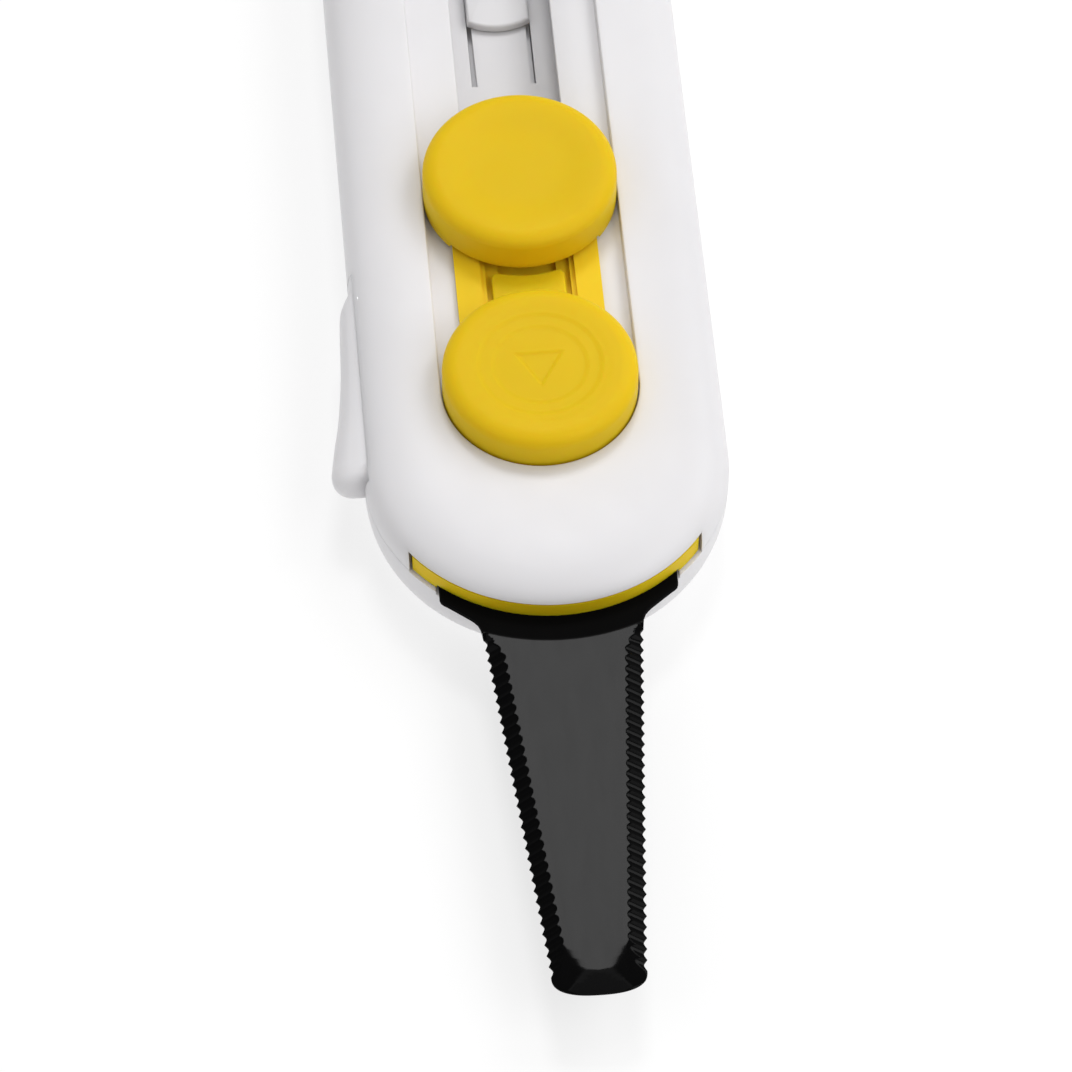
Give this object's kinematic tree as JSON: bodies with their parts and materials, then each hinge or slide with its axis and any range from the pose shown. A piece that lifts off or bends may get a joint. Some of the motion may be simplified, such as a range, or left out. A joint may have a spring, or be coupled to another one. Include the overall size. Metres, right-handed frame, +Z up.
{
  "type": "utility knife",
  "caption": "Retractable carton cutter with a serrated blade, a two-button slide carriage in a slim rounded handle, and a side lever.",
  "frame": {"origin": "centre of the handle's flat underside", "axes": "+X along the handle towards the blade's tip, +Z up out of the thumb buttons, +Y to the left of the blade's direction"},
  "size_m": [0.1686, 0.036, 0.0141],
  "materials": {
    "white_plastic": "satin",
    "yellow_plastic": "satin",
    "black_steel": "smooth black coating",
    "steel": "plain"
  },
  "bodies": {
    "housing": {"upper_shell": "white_plastic", "lower_shell": "white_plastic", "guide_rail": "white_plastic", "housing_screws": "steel", "rail_screws": "steel", "side_lever_pin": "steel", "side_lever_spring": "steel"},
    "slide": {"slide_carriage": "yellow_plastic", "blade_holder": "yellow_plastic", "carriage_screws": "steel", "blade": "black_steel", "blade_clamp": "steel", "clamp_screws": "steel", "detent_spring": "steel", "front_button_spring": "steel", "rear_button_spring": "steel"},
    "front_thumb_button": {"front_button": "yellow_plastic", "front_button_retainer": "steel"},
    "rear_thumb_button": {"rear_button": "yellow_plastic", "rear_button_retainer": "steel"},
    "lever": {"side_lever": "white_plastic"}
  },
  "joints": [
    {"name": "blade_slide", "type": "slide", "parent": "housing", "child": "slide", "axis": [-1, 0, 0], "range_m": [0, 0.0415], "deforming": ["detent_spring"]},
    {"name": "front_button_press", "type": "slide", "parent": "slide", "child": "front_thumb_button", "axis": [0, 0, -1], "range_m": [0, 0.0004], "stiffness_N_per_m": 400, "springref_m": -0.001, "deforming": ["front_button_spring"]},
    {"name": "rear_button_press", "type": "slide", "parent": "slide", "child": "rear_thumb_button", "axis": [0, 0, -1], "range_m": [0, 0.0004], "stiffness_N_per_m": 400, "springref_m": -0.001, "deforming": ["rear_button_spring"]},
    {"name": "side_lever_swing", "type": "hinge", "parent": "housing", "child": "lever", "pos_m": [0.0295, -0.0149, 0.00625], "axis": [0, 0, 1], "range_deg": [0, 3], "stiffness_Nm_per_rad": 0.03, "springref_deg": -2.86, "deforming": ["side_lever_spring"]}
  ]
}
